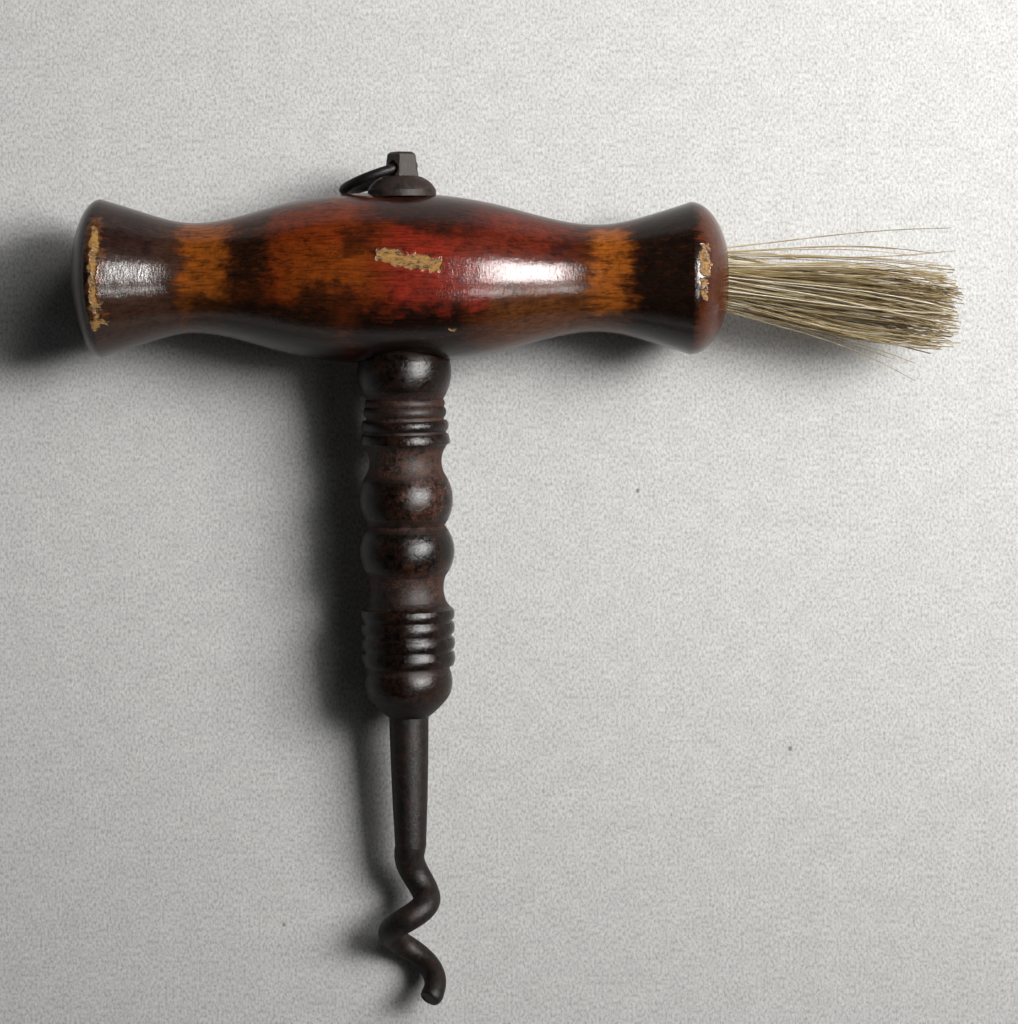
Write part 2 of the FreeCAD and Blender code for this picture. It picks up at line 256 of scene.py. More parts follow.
class Recipe(Graph):
    """A material's graph, which ends in one shader."""

    def __init__(self, name: str) -> None:
        """Start an empty material of a name with its shader and output.

        Args:
            name: The material's name.
        """
        self.material = bpy.data.materials.new(name)
        self.material.use_nodes = True
        super().__init__(self.material.node_tree)
        self.shader = self.add("BsdfPrincipled")
        self.plug(self.add("OutputMaterial"), "Surface", self.shader.outputs[0])

    def coordinates(self, origin: Place = (0.0, 0.0, 0.0), per_metre: float = 1 / MM) -> Socket:
        """Read the place on the object.

        Args:
            origin: Where it is counted from, in its own unit.
            per_metre: How many of that unit make a metre.

        Returns:
            The vector socket.
        """
        mapping = self.add("Mapping")
        self.plug(mapping, "Vector", self.add("TexCoord").outputs["Object"])
        mapping.inputs["Scale"].default_value = (per_metre,) * 3
        mapping.inputs["Location"].default_value = tuple(0.0 - part for part in origin)
        return mapping.outputs[0]

    def stretch(self, vector: Socket, scale: Place) -> Socket:
        """Scale a vector along its axes.

        Args:
            vector: The vector's socket.
            scale: Its scale along X, Y and Z.

        Returns:
            The scaled vector's socket.
        """
        mapping = self.add("Mapping")
        self.plug(mapping, "Vector", vector)
        mapping.inputs["Scale"].default_value = scale
        return mapping.outputs[0]

    def noise(self, vector: Socket, pattern: Noise) -> Socket:
        """Read a cloudy noise between about 0.2 and 0.8.

        Args:
            vector: Where it is read.
            pattern: What it looks like.

        Returns:
            The noise's socket.
        """
        if pattern.stretch is not None:
            vector = self.stretch(vector, pattern.stretch)
        node = self.add("TexNoise")
        for key, value in (("Vector", vector), ("Scale", pattern.scale),
                           ("Detail", pattern.detail), ("Roughness", pattern.roughness),
                           ("Distortion", pattern.swirl)):
            self.plug(node, key, value)
        return node.outputs[0]

    def cells(self, vector: Socket, scale: float) -> Socket:
        """Give the distance to the nearest of many scattered points.

        Args:
            vector: Where it is read.
            scale: Points per unit.

        Returns:
            The distance's socket.
        """
        node = self.add("TexVoronoi")
        self.plug(node, "Vector", vector)
        self.plug(node, "Scale", scale)
        return node.outputs["Distance"]

    def step(self, value: Socket, low: Value, high: Value) -> Socket:
        """Rise smoothly from 0 at low to 1 at high.

        Args:
            value: The value's socket.
            low, high: Where the rise begins and ends.

        Returns:
            The share's socket.
        """
        node = self.add("MapRange")
        node.interpolation_type = "SMOOTHSTEP"
        self.plug(node, "Value", value)
        self.plug(node, "From Min", low)
        self.plug(node, "From Max", high)
        return node.outputs[0]

    def band(self, value: Socket, span: Span, soft: float) -> Socket:
        """Give 1 within a span, fading over a softness on both sides of its ends.

        Args:
            value: The value's socket.
            span: The span's ends.
            soft: The softness.

        Returns:
            The share's socket.
        """
        low, high = span
        return self.times(self.step(value, low - soft, low + soft),
                          self.step(value, high + soft, high - soft))

    def mix(self, share: Value, first: Value, second: Value,
            blend: Blend = Blend.MIX) -> Socket:
        """Lay a second colour over a first one.

        Args:
            share: How much of the second shows, a socket or constant.
            first, second: Colours underneath and on top, as sockets or constants.
            blend: How they combine.

        Returns:
            The colour's socket.
        """
        node = self.add("Mix")
        node.data_type = "RGBA"
        node.blend_type = blend.value
        self.plug(node, 0, share)
        self.plug(node, 6, first)
        self.plug(node, 7, second)
        return node.outputs[2]

    def bump(self, height: Socket, depth: float, share: float = 1.0,
             under: Socket | None = None) -> Socket:
        """Raise fine relief that is too small for the mesh.

        Args:
            height: Its height, 0 to 1.
            depth: Its depth in millimetres for a height of 1.
            share: Share of it that is used.
            under: An earlier relief to add to.

        Returns:
            The normal's socket.
        """
        node = self.add("Bump")
        self.plug(node, "Distance", depth * MM)
        self.plug(node, "Strength", share)
        self.plug(node, "Height", height)
        if under is not None:
            self.plug(node, "Normal", under)
        return node.outputs[0]

    def finish(self, **values: Value) -> Material:
        """Set the shader's inputs, with spaces written as underscores, and give the material.

        Args:
            values: What feeds each input.

        Returns:
            The material.
        """
        for key, value in values.items():
            self.plug(self.shader, key.replace("_", " "), value)
        return self.material


@dataclass(frozen=True)
class StainAndShade:
    """A patch of colour on the handle: dye in the wood, except where it is painted shade.

    Attributes:
        colour: Its colour as the eye sees it.
        along: Start and end along the handle in millimetres from the stem.
        around: Start and end round the handle in degrees, 0 facing up and 90 to the nub's side.
        soft: How far its edge fades along the handle, in millimetres.
        strength: How much of it covers what is below.
        broken: How much the grain breaks it up, 0 to 1.
    """

    colour: Colour
    along: Span
    around: Span
    soft: float
    strength: float
    broken: float


@dataclass(frozen=True)
class Patch:
    """A place where the varnish has gone.

    Attributes:
        along, around: Its ends, as a stain has them.
        slant: Degrees that it turns for each millimetre along.
        on_rim: Whether it is thin and broken, as along a knob's rim.
    """

    along: Span
    around: Span
    slant: float = 0.0
    on_rim: bool = True


@dataclass(frozen=True)
class VarnishedWood:
    """Stained hardwood under worn varnish, in patches of many colours, some of them painted shade.

    Lengths are in millimetres and angles in degrees.

    Attributes:
        patches: Where the varnish has gone.
        ground, bare: Colours under the stains and of the bare wood.
        stains_and_shade: Colours laid on the ground, in order.
        soft_turn: Fading round the handle for a millimetre of a patch's softness.
        fray_open, fray_rim, fray_angle: Reach of the fray on an open patch, on a rim and round.
        gloss, figure_rough, bare_rough: The varnish's roughness, and what is added to it.
    """

    patches: tuple[Patch, ...] = (
        Patch((-2.9, 6.9), (2.4, 12.0), slant=0.75, on_rim=False),
        Patch((-45.7, -44.6), (-44.0, 35.0)),
        Patch((-45.0, -43.2), (-42.0, -37.5)),
        Patch((-45.2, -43.9), (-27.0, -21.0)),
        Patch((45.2, 46.5), (-2.0, 22.0)),
        Patch((45.2, 46.2), (-19.0, -5.0)),
        Patch((7.6, 8.9), (-44.5, -41.5)),
    )
    ground: Colour = (86, 42, 18)
    bare: Colour = (166, 120, 50)
    stains_and_shade: tuple[StainAndShade, ...] = (
        StainAndShade((150, 80, 25), (-32.6, -25.6), (-80, 75), 1.5, 0.97, 0.75),
        StainAndShade((120, 48, 15), (-19.0, -0.5), (-32, 62), 2.2, 0.97, 0.6),
        StainAndShade((138, 68, 19), (-17.0, -4.5), (-18, 16), 2.4, 0.7, 0.85),
        StainAndShade((138, 42, 26), (-1.5, 14.5), (-26, 30), 2.4, 0.97, 0.5),
        StainAndShade((106, 38, 22), (9.0, 26.0), (-12, 66), 3.2, 0.92, 0.6),
        StainAndShade((100, 58, 28), (14.0, 34.0), (-90, -12), 3.0, 0.85, 0.6),
        StainAndShade((164, 90, 30), (29.2, 34.2), (-42, 60), 1.6, 0.96, 0.65),
        StainAndShade((64, 43, 33), (-60.0, -33.2), (-200, 200), 1.8, 0.97, 0.4),
        StainAndShade((42, 26, 25), (-60.0, -36.5), (16, 95), 2.0, 0.8, 0.4),
        StainAndShade((36, 21, 11), (-24.8, -19.2), (-8, 44), 1.5, 0.9, 0.95),
        StainAndShade((34, 21, 11), (-32.4, -9.5), (-130, -20), 2.0, 0.9, 0.6),
        StainAndShade((40, 23, 11), (-14.5, -6.5), (-30, -9), 1.2, 0.8, 0.8),
        StainAndShade((38, 21, 11), (-8.4, -3.4), (10, 34), 1.0, 0.65, 0.9),
        StainAndShade((44, 23, 20), (-5.0, 12.5), (30, 95), 2.6, 0.9, 0.5),
        StainAndShade((36, 22, 20), (22.0, 26.0), (14, 36), 1.2, 0.75, 0.8),
        # Painted shade: near-black on the underside beside the stem, where handle and stem meet in
        # shade
        StainAndShade((22, 13, 9), (-6.5, 10.5), (-130, -22), 2.2, 0.93, 0.45),
        StainAndShade((60, 36, 25), (-30.0, 24.0), (66, 130), 3.0, 0.5, 0.5),
        StainAndShade((31, 20, 14), (35.4, 45.2), (-200, 200), 1.5, 0.96, 0.4),
        StainAndShade((84, 42, 24), (45.1, 60.0), (-200, 200), 0.25, 0.96, 0.3),
        # Painted shade: the left end faces away from the lamps, and is painted dark all round
        StainAndShade((34, 25, 19), (-60.0, -46.6), (-200, 200), 0.3, 0.9, 0.1),
        StainAndShade((118, 72, 38), (-46.0, -43.9), (-38, 40), 0.4, 0.75, 0.8),
    )
    soft_turn: float = 5.0
    fray_open: float = 2.6
    fray_rim: float = 1.9
    fray_angle: float = 13.0
    gloss: float = 0.1
    figure_rough: float = 0.16
    bare_rough: float = 0.7

    def material(self) -> Material:
        """Build the wood with its grain, dye, painted shade, varnish and worn places."""
        recipe = Recipe("varnished_wood")
        bench = recipe.coordinates(BENCH_AT_MM)
        along, across, up = recipe.split(bench)
        turn = recipe.times(recipe.math("ARCTAN2", across, up), math.degrees(1.0))
        figure = recipe.noise(bench, Noise(0.85, 5.0, 0.6, 0.6, (0.22, 1.0, 1.0)))
        grain = recipe.noise(bench, Noise(2.6, 6.0, 0.66, stretch=(0.05, 1.0, 1.0)))
        pores = recipe.noise(bench, Noise(6.0, 2.0, stretch=(0.14, 1.0, 1.0)))
        smudge = recipe.noise(bench, Noise(0.55, 6.0, 0.72, 0.4))
        scratches = recipe.noise(bench, Noise(2.4, 4.0, 0.7, 0.8, (0.35, 1.0, 1.0)))
        ripple = recipe.noise(bench, Noise(0.6, 2.0, stretch=(0.8, 1.0, 1.0)))
        crackle = recipe.noise(bench, Noise(1.9, 3.0, 0.6, 0.5, (1.6, 0.7, 0.7)))
        worn = self.worn(recipe, bench, along, turn)
        colour = recipe.mix(recipe.step(figure, 0.35, 0.65), paint(*self.ground),
                            toned(self.ground, 0.66))
        colour = self.lay_stains_and_shade(recipe, colour, bench, along, turn)
        for share, tint in (
                (0.85, recipe.ramp(
                    smudge, (0.30, filter_of(0.34, 0.33, 0.36)),
                    (0.46, filter_of(0.86, 0.86, 0.88)), (0.54, filter_of(1.0)),
                    (0.72, filter_of(1.34, 1.26, 1.14)))),
                (0.8, recipe.ramp(
                    grain, (0.32, filter_of(0.30, 0.29, 0.30)), (0.5, filter_of(1.0)),
                    (0.7, filter_of(1.36, 1.28, 1.12)))),
                (0.7, recipe.ramp(
                    pores, (0.30, filter_of(0.4, 0.38, 0.38)), (0.42, filter_of(1.0))))):
            colour = recipe.mix(share, colour, tint, Blend.MULTIPLY)
        colour = recipe.mix(worn, colour, recipe.ramp(
            scratches, (0.36, toned(self.bare, 0.34)), (0.45, toned(self.bare, 0.8)),
            (0.54, paint(*self.bare)), (0.7, toned(self.bare, 1.1))))
        rough = recipe.plus(self.gloss, recipe.times(figure, self.figure_rough))
        rough = recipe.plus(rough, recipe.times(worn, self.bare_rough), clamp=True)
        normal = None
        for height, depth, share in (
                (ripple, 0.12, 0.35), (crackle, 0.045, 0.6), (grain, 0.014, 0.5),
                (pores, 0.01, 0.5), (recipe.math("SUBTRACT", 1.0, worn), 0.14, 1.0)):
            normal = recipe.bump(height, depth, share, normal)
        return recipe.finish(Base_Color=colour, Roughness=rough, Normal=normal, IOR=1.38)

    def lay_stains_and_shade(self, recipe: Recipe, colour: Socket, bench: Socket, along: Socket,
                   turn: Socket) -> Socket:
        """Lay the dye patches and the painted shade over the ground, with ragged edges.

        Args:
            recipe: The material's graph.
            colour: The ground's colour.
            bench: Bench coordinates.
            along, turn: Place along the handle, and round it in degrees.

        Returns:
            The colour's socket, with its dye and painted shade.
        """
        cloud = recipe.noise(bench, Noise(0.34, 5.0, 0.62))
        tongues = recipe.noise(bench, Noise(1.3, 5.0, 0.7, stretch=(0.09, 1.0, 1.0)))
        cloud_turn = recipe.noise(bench, Noise(0.3, 5.0, 0.65, stretch=(1.0, 1.3, 1.3)))
        breakup = recipe.noise(bench, Noise(1.1, 6.0, 0.7, stretch=(0.3, 1.0, 1.0)))
        along = recipe.sway(recipe.sway(along, cloud, 6.0), tongues, 5.0)
        turn = recipe.sway(turn, cloud_turn, 52.0)
        for stain_and_shade in self.stains_and_shade:
            cover = recipe.band(along, stain_and_shade.along, stain_and_shade.soft)
            if stain_and_shade.around[1] - stain_and_shade.around[0] < 360:
                cover = recipe.times(cover, recipe.band(
                    turn, stain_and_shade.around, stain_and_shade.soft * self.soft_turn))
            gaps = recipe.step(breakup, 0.40 + 0.12 * stain_and_shade.broken, 0.36)
            gaps = recipe.times(gaps, stain_and_shade.broken)
            cover = recipe.times(cover, recipe.math("SUBTRACT", 1.0, gaps))
            cover = recipe.times(cover, stain_and_shade.strength, clamp=True)
            colour = recipe.mix(cover, colour, paint(*stain_and_shade.colour))
        return colour

    def worn(self, recipe: Recipe, bench: Socket, along: Socket, turn: Socket) -> Socket:
        """Find where the varnish has gone and the bare wood shows.

        Args:
            recipe: The material's graph.
            bench: Bench coordinates.
            along, turn: Place along the handle, and round it in degrees.

        Returns:
            A socket that is 1 on bare wood.
        """
        fray = recipe.noise(bench, Noise(0.7, 3.0, 0.55, stretch=(0.5, 1.0, 1.0)))
        fray_turn = recipe.noise(bench, Noise(0.6, stretch=(1.2, 1.0, 1.0)))
        open_edge = recipe.sway(along, fray, self.fray_open)
        rim_edge = recipe.sway(along, fray, self.fray_rim)
        angle = recipe.sway(turn, fray_turn, self.fray_angle)
        thin = recipe.step(recipe.noise(bench, Noise(0.55, 3.0, 0.6)), 0.34, 0.54)
        worn = None
        for patch in self.patches:
            slanted = recipe.plus(angle, recipe.times(
                recipe.math("SUBTRACT", along, sum(patch.along) / 2), patch.slant))
            shape = recipe.times(
                recipe.band(rim_edge if patch.on_rim else open_edge, patch.along, 0.2),
                recipe.band(slanted, patch.around, 0.9))
            if patch.on_rim:
                shape = recipe.times(shape, thin)
            worn = shape if worn is None else recipe.math("MAXIMUM", worn, shape)
        return worn


@dataclass(frozen=True)
class Turning:
    """Where the stem's turning is rusty, rubbed or bare, in millimetres.

    Places along the stem are counted from the handle's axis, and are below 0 towards the worm.

    Attributes:
        start: Where the stem's axis meets the handle's, in the row frame.
        drop, lean: How far the stem's axis goes up and aside for each millimetre.
        crests: Radii at which a rubbed crest begins and is full.
        baluster: Ends of the turned length.
        slim_hollows, deep_hollows: Radii of the rusty hollows, above and in the lower collar.
        change: Places at which the first give way to the second.
        films: Stretches that have a film of rust.
        film_side, nub: Places at which the film, or the nub, begins and is full.
    """

    start: Place = (-17.15, 46.36, 13.0)
    drop: float = -0.0741
    lean: float = 0.01085
    crests: Span = (6.2, 6.9)
    baluster: Span = (-64.5, -11.0)
    slim_hollows: Span = (5.0, 6.3)
    deep_hollows: Span = (6.2, 6.85)
    change: tuple[float, float, float] = (-48.0, -47.0, -46.0)
    films: tuple[Span, Span] = ((-37.5, -25.5), (-50.0, -43.5))
    film_side: Span = (-4.5, 2.5)
    nub: Span = (8.0, 9.0)

    def read(self, recipe: Recipe, mottle: Socket, cloud: Socket) -> tuple[Socket, Socket, Socket]:
        """Tell hollow from proud turning by its distance from the stem's axis.

        Args:
            recipe: The material's graph.
            mottle: Noise that frays the edges.
            cloud: Broad noise that spreads the rust.

        Returns:
            Sockets that are 1 on the rust, on the rubbed crests and on the nub.
        """
        across, down, up = recipe.split(recipe.coordinates(self.start))
        lift = recipe.plus(up, recipe.times(down, self.drop))
        side = recipe.plus(across, recipe.times(down, self.lean))
        radius = recipe.math("SQRT", recipe.plus(
            recipe.times(side, side), recipe.times(lift, lift)))
        frayed = recipe.sway(radius, mottle, 2.2)
        slim_from, middle, deep_from = self.change
        slim = recipe.times(recipe.band(frayed, self.slim_hollows, 0.35),
                            recipe.step(down, slim_from, middle))
        deep = recipe.times(recipe.band(frayed, self.deep_hollows, 0.15),
                            recipe.step(down, deep_from, middle))
        hollow = recipe.math("MAXIMUM", slim, recipe.times(deep, 0.35))
        hollow = recipe.times(hollow, recipe.band(down, self.baluster, 0.6))
        hollow = recipe.times(hollow, recipe.step(mottle, 0.36, 0.64))
        upper, lower = (recipe.band(down, span, 1.5) for span in self.films)
        film = recipe.times(recipe.math("MAXIMUM", upper, lower),
                            recipe.step(side, *self.film_side))
        film = recipe.times(film, recipe.step(cloud, 0.38, 0.58))
        film = recipe.times(film, recipe.step(mottle, 0.34, 0.66))
        return (recipe.math("MAXIMUM", hollow, film), recipe.step(radius, *self.crests),
                recipe.step(down, *self.nub))


@dataclass(frozen=True)
class PatinatedIron:
    """Old forged iron: dark brown, rubbed where it stands proud, rusty where it is hollow.

    Attributes:
        name: The material's name.
        dark, rubbed, rust: Colours of the old skin, where hands rubbed it, and of rust.
        worn: Colour of the nub, which the hammer rounded.
        rust_share: How much of the surface rust takes.
        roughness: How dull the skin is.
        crest_gloss, rust_rough: What the rubbed crests take off that, and what rust adds.
        turning: Where the turning is, on a turned piece.
    """

    name: str
    dark: Colour = (9, 8, 7)
    rubbed: Colour = (40, 30, 25)
    rust: Colour = (98, 58, 41)
    worn: Colour = (50, 38, 30)
    rust_share: float = 0.2
    roughness: float = 0.42
    crest_gloss: float = 0.35
    rust_rough: float = 0.24
    turning: Turning | None = None

    def material(self) -> Material:
        """Build the iron with its patina, pits and rust."""
        recipe = Recipe(self.name)
        place = recipe.coordinates()
        cloud = recipe.noise(place, Noise(0.35, 5.0, 0.65))
        mottle = recipe.noise(place, Noise(1.1, 6.0, 0.7, 0.4))
        speck = recipe.noise(place, Noise(5.0, 4.0, 0.6))
        colour = recipe.mix(recipe.step(mottle, 0.36, 0.66), paint(*self.dark),
                            paint(*self.rubbed))
        rusty = recipe.times(recipe.step(cloud, 0.46, 0.66), self.rust_share)
        rough = recipe.plus(self.roughness, recipe.times(mottle, 0.1))
        nub = None
        if self.turning is not None:
            rust, proud, nub = self.turning.read(recipe, mottle, cloud)
            rusty = recipe.math("MAXIMUM", rusty, rust)
            rough = recipe.math("SUBTRACT", rough, recipe.times(proud, self.crest_gloss))
        rusty = recipe.times(rusty, recipe.step(speck, 0.3, 0.62), clamp=True)
        colour = recipe.mix(rusty, colour, paint(*self.rust))
        if nub is not None:
            colour = recipe.mix(recipe.times(nub, 0.8), colour, paint(*self.worn))
        grime = recipe.ramp(speck, (0.28, filter_of(0.45, 0.43, 0.42)), (0.6, filter_of(1.0)),
                            (0.8, filter_of(1.5, 1.42, 1.35)))
        colour = recipe.mix(0.8, colour, grime, Blend.MULTIPLY)
        rough = recipe.plus(rough, recipe.times(rusty, self.rust_rough), clamp=True)
        pits = recipe.step(recipe.cells(place, 1.6), 0.0, 0.32)
        normal = recipe.bump(mottle, 0.16, 0.6)
        normal = recipe.bump(pits, 0.05, 0.4, normal)
        normal = recipe.bump(speck, 0.04, 0.6, normal)
        return recipe.finish(Base_Color=colour, Roughness=rough, Normal=normal, IOR=1.28)


@dataclass(frozen=True)
class StrawHair:
    """Natural bristle, from olive brown to pale straw, one tone a hair.

    Attributes:
        dark, middle, pale: Colours of the darkest, the common and the palest hairs.
        mouth_paler: How much paler the hairs are where they leave the socket.
        paler: Places along the handle, in millimetres, where that begins and is full.
    """

    dark: Colour = (84, 67, 38)
    middle: Colour = (178, 156, 110)
    pale: Colour = (238, 230, 208)
    mouth_paler: float = 0.14
    paler: Span = (68.0, 50.0)

    def material(self) -> Material:
        """Build the hair with its tone read from each hair."""
        recipe = Recipe("straw_bristle")
        tone = recipe.add("Attribute")
        tone.attribute_name = HAIR_TONE
        place = recipe.coordinates(BENCH_AT_MM)
        out, _, _ = recipe.split(place)
        along = recipe.noise(place, Noise(1.0, 3.0, 0.6, stretch=(0.3, 1.0, 1.0)))
        shade = recipe.sway(tone.outputs["Fac"], along, 0.9)
        shade = recipe.plus(shade, recipe.times(
            recipe.step(out, *self.paler), self.mouth_paler), clamp=True)
        colour = recipe.ramp(shade, (0.05, paint(*self.dark)), (0.5, paint(*self.middle)),
                             (0.95, paint(*self.pale)))
        normal = recipe.bump(recipe.noise(place, Noise(9.0, 2.0)), 0.02, 0.4)
        return recipe.finish(Base_Color=colour, Roughness=0.6, Normal=normal, IOR=1.4)


@dataclass(frozen=True)
class HiddenFinish:
    """A plain finish in two tones of one colour, for what lies inside the socket.

    Attributes:
        name: The material's name.
        colour: Its colour.
        pattern: What mixes the two tones.
        first, second: Where each tone is full in the pattern, and its share of the colour.
        roughness: How dull it is.
        relief: Depth in millimetres of the pattern, and share of it that is used.
    """

    name: str
    colour: Colour
    pattern: Noise
    first: Span
    second: Span
    roughness: float
    relief: Span

    def material(self) -> Material:
        """Build the finish."""
        recipe = Recipe(self.name)
        height = recipe.noise(recipe.coordinates(), self.pattern)
        colour = recipe.ramp(height, *(
            (place, toned(self.colour, share)) for place, share in (self.first, self.second)))
        return recipe.finish(Base_Color=colour, Roughness=self.roughness,
                             Normal=recipe.bump(height, *self.relief))


WAXED_THREAD = HiddenFinish("binding_thread", (150, 128, 88), Noise(
    2.6, 3.0, 0.6, 0.5, (2.5, 1.0, 1.0)), (0.35, 0.6), (0.6, 1.0), 0.7, (0.08, 0.8))
SETTING_PITCH = HiddenFinish("setting_pitch", (24, 20, 17), Noise(
    0.9, 4.0, 0.6), (0.3, 1.0), (0.7, 1.7), 0.55, (0.2, 0.6))


@dataclass(frozen=True)
class PaleBoard:
    """The pale grey board that the corkscrew lies on, with short fibres in it.

    Attributes:
        colour: Its colour near the object.
        backdrop: The colour that it fades into, as the eye sees it.
        fade: Distances from the object, in metres, where that begins and is full.
        speck, speck_size: Colour of its few larger specks, and the largest's radius in cells.
    """

    colour: Colour = (222, 221, 219)
    backdrop: Colour = (212, 211, 209)
    fade: Span = (0.12, 0.42)
    speck: Colour = (96, 88, 76)
    speck_size: float = 0.045

    def material(self) -> Material:
        """Build the board, which turns into a pale backdrop away from the object."""
        recipe = Recipe("pale_board")
        place = recipe.coordinates()
        mottle = recipe.noise(place, Noise(0.25, 4.0, 0.6))
        fine = recipe.noise(place, Noise(2.6, 3.0, 0.75, stretch=(1.0, 0.6, 1.0)))
        fibres = recipe.noise(place, Noise(1.3, 2.0, 0.6, 1.2, (2.2, 0.35, 1.0)))
        colour = recipe.ramp(mottle, (0.3, toned(self.colour, 0.97)),
                             (0.7, toned(self.colour, 1.02)))
        tooth = recipe.ramp(fine, (0.30, filter_of(0.5)), (0.5, filter_of(0.98)),
                            (0.72, filter_of(1.28)))
        colour = recipe.mix(0.85, colour, tooth, Blend.MULTIPLY)
        strand = recipe.ramp(fibres, (0.23, filter_of(0.62, 0.58, 0.52)), (0.31, filter_of(1.0)))
        colour = recipe.mix(0.55, colour, strand, Blend.MULTIPLY)
        scatter = recipe.cells(recipe.stretch(place, (1.0, 0.8, 1.0)), 0.1)
        here = recipe.step(recipe.noise(place, Noise(0.06, 1.0)), 0.45, 0.62)
        size = recipe.times(here, self.speck_size)
        speck = recipe.step(scatter, size, recipe.math("SUBTRACT", size, 0.02))
        colour = recipe.mix(recipe.times(speck, 0.75), colour, paint(*self.speck))
        away = recipe.add("VectorMath")
        away.operation = "LENGTH"
        recipe.plug(away, 0, recipe.coordinates(per_metre=1.0))
        share = recipe.times(recipe.seen_directly(),
                             recipe.step(away.outputs["Value"], *self.fade))
        colour = recipe.mix(share, colour, filter_of(0.0))
        return recipe.finish(
            Base_Color=colour, Roughness=0.85, Normal=recipe.bump(fine, 0.08, 0.5),
            Emission_Color=paint(*self.backdrop), Emission_Strength=share)


@contextmanager
def editing(piece: Thing) -> Iterator[None]:
    """Open a piece's mesh with all of it selected, and close it again.

    Args:
        piece: The piece.
    """
    bpy.ops.object.select_all(action="DESELECT")
    piece.select_set(True)
    bpy.context.view_layer.objects.active = piece
    bpy.ops.object.mode_set(mode="EDIT")
    bpy.ops.mesh.select_all(action="SELECT")
    yield
    bpy.ops.object.mode_set(mode="OBJECT")


def dress(node: str, material: Material) -> None:
    """Give a CAD node its finish.

    Args:
        node: The node's name.
        material: Its finish.
    """
    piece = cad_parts[node]
    piece.data.materials.clear()
    piece.data.materials.append(material)
    log.info("%s: CAD solid with %s", node, material.name)


@dataclass
class Ironwork:
    """Stem, rove and hanging ring, which keep their CAD shapes.

    Attributes:
        stem, rove, ring: Their finishes, of which the rove's is browner and duller.
    """

    stem: PatinatedIron = PatinatedIron("forged_iron", turning=Turning())
    rove: PatinatedIron = PatinatedIron(
        "rove_iron", dark=(24, 18, 14), rubbed=(62, 48, 40), rust_share=0.3, roughness=0.5)
    ring: PatinatedIron = PatinatedIron(
        "wire_iron", dark=(12, 10, 8), rubbed=(24, 20, 16), rust_share=0.15)

    def build(self) -> None:
        """Dress the three iron pieces."""
        dress("stem", self.stem.material())
        dress("rove", self.rove.material())
        dress("hanging_ring", self.ring.material())


@dataclass
class CrossHandle:
    """The turned handle, which keeps its CAD shape, and its wood."""

    wood: VarnishedWood = VarnishedWood()

    def build(self) -> None:
        """Dress the handle."""
        dress("handle", self.wood.material())


@dataclass(frozen=True)
class HairLine:
    """One hair's run in the bench frame, in millimetres.

    Attributes:
        root, tip: Its hidden and its free end.
        bow: How far it bends aside.
        width: Its thickness at the root.
        tone: Its tone, 0 for dark and 1 for pale.
        wave, waves, phase: How far it waves aside, how often, and where that starts.
        straight: Share of its length at the root that doesn't wave.
    """

    root: Vector
    tip: Vector
    bow: Vector
    width: float
    tone: float
    wave: Vector = Vector((0.0, 0.0, 0.0))
    waves: float = 1.6
    phase: float = 0.0
    straight: float = 0.1

    def at(self, share: float) -> Vector:
        """Give the hair's centre at a share of its length.

        Args:
            share: The share, from 0 at the root.

        Returns:
            The centre.
        """
        bowed = math.sin(math.pi * min(1.0, share)) * share
        waved = math.sin(math.tau * self.waves * share + self.phase)
        waved *= max(0.0, share - self.straight)
        return self.root.lerp(self.tip, share) + self.bow * bowed + self.wave * waved


@dataclass(frozen=True)
class Lock:
    """A lock that hairs gather in, in millimetres in the bench frame.

    Attributes:
        y, z: Its place across and its height at the mouth.
        drift, bow: How far its tip is off the plain spread, and how it bends.
        tone: How much paler than the middle its hairs are.
    """

    y: float
    z: float
    drift: Vector
    bow: Vector
    tone: float


